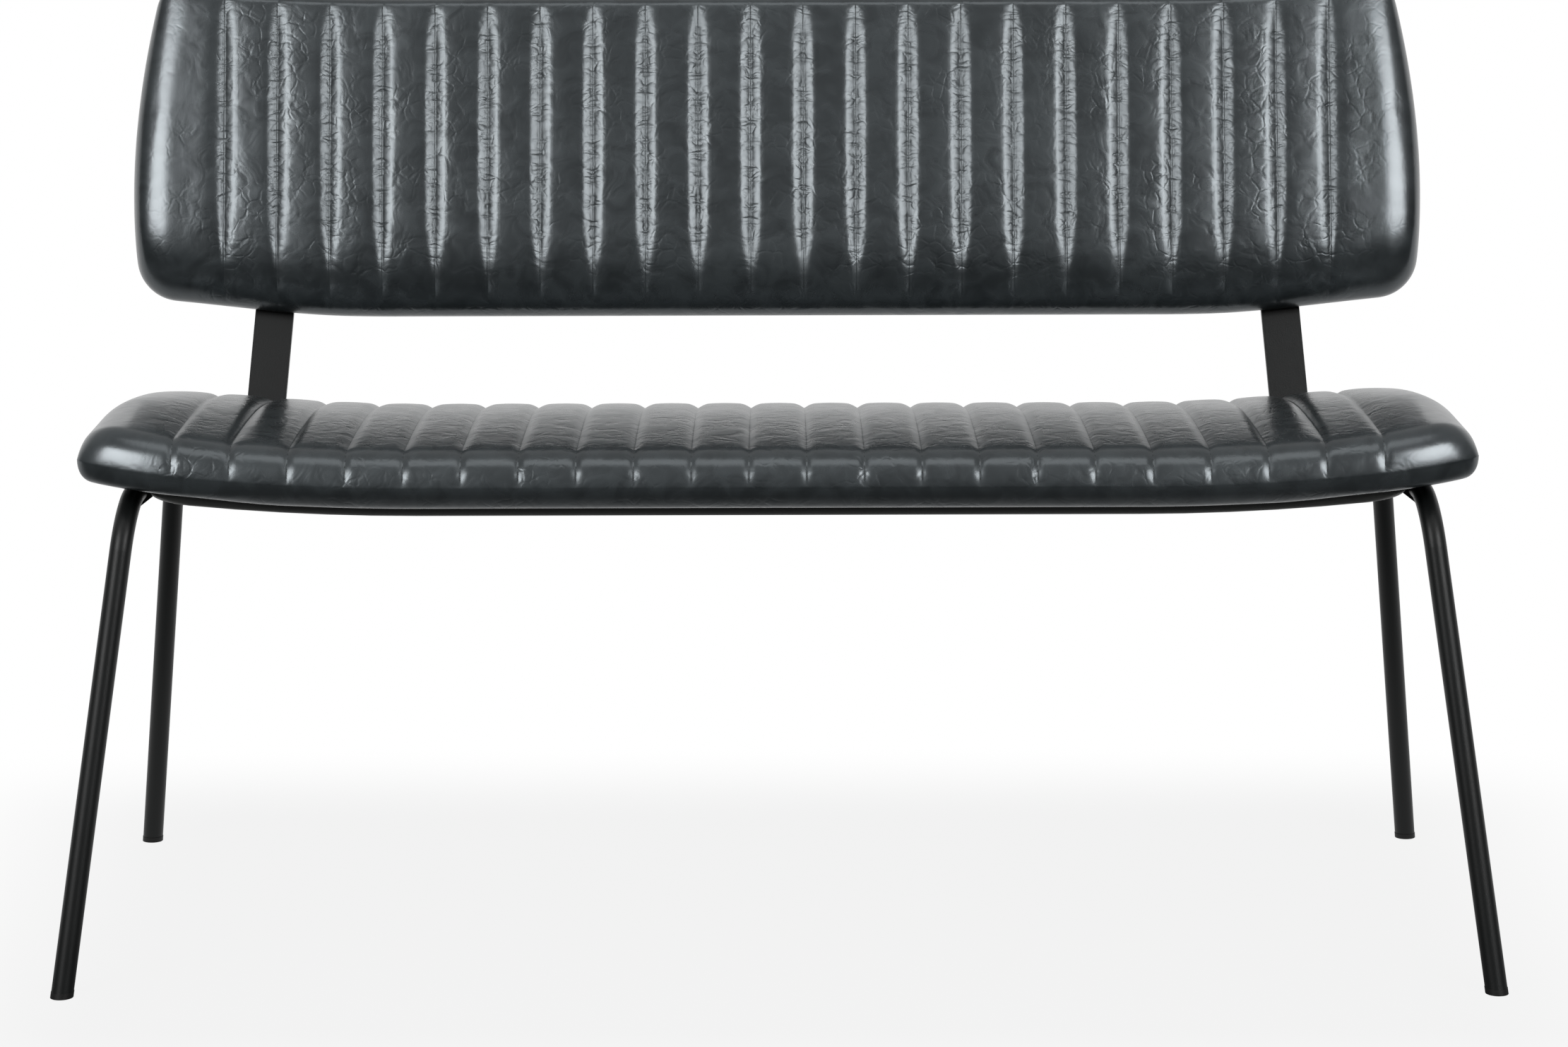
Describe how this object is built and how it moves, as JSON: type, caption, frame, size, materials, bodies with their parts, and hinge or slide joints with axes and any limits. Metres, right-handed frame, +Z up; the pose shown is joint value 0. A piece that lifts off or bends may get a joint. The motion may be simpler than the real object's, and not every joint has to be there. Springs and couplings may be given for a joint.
{
  "type": "upholstered dining bench",
  "caption": "Dining bench with a channel-sewn upholstered seat and raked back pad, carried on bent-tube leg frames that lean outwards, for seating several people at a table.",
  "frame": {"origin": "on the floor, in the middle of the bench's overall length and depth", "axes": "+X along the bench to the right as seen from the front, the front faces -Y, +Z up"},
  "size_m": [1.2448, 0.5683, 0.8284],
  "materials": {
    "cover_leather": "charcoal faux leather with a soft sheen and a fine grain",
    "black_panel": "board stained matte black",
    "plywood": "raw plywood",
    "foam": "soft open-cell foam",
    "quilt": "thin quilted wadding",
    "frame_black": "matte black powder coat",
    "bolt_black": "black oxide steel with a faint sheen",
    "zinc_steel": "bright zinc plate",
    "glide_plastic": "dark grey plastic"
  },
  "bodies": {
    "root": {"seat_base_panel": "black_panel", "seat_core_board": "plywood", "seat_foam": "foam", "seat_quilt_layer": "quilt", "seat_cover": "cover_leather", "seat_cover_staples": "zinc_steel", "base_panel_screws": "zinc_steel", "leg_bolts": "bolt_black", "leg_bolt_washers": "bolt_black", "leg_tee_nuts": "zinc_steel", "bracket_foot_bolts": "bolt_black", "bracket_foot_washers": "bolt_black", "bracket_foot_tee_nuts": "zinc_steel", "back_bolts": "bolt_black", "back_bolt_washers": "bolt_black", "back_tee_nuts": "zinc_steel", "mount_plate_welds": "frame_black", "back_board": "plywood", "back_foam": "foam", "back_quilt_layer": "quilt", "back_cover": "cover_leather", "back_rear_panel": "plywood", "back_rear_cover": "cover_leather", "back_cover_staples": "zinc_steel", "left_leg_frame": "frame_black", "left_front_glide": "glide_plastic", "left_rear_glide": "glide_plastic", "left_front_mount_plate": "frame_black", "left_rear_mount_plate": "frame_black", "left_back_bracket": "frame_black", "right_leg_frame": "frame_black", "right_front_glide": "glide_plastic", "right_rear_glide": "glide_plastic", "right_front_mount_plate": "frame_black", "right_rear_mount_plate": "frame_black", "right_back_bracket": "frame_black"}
  },
  "joints": []
}
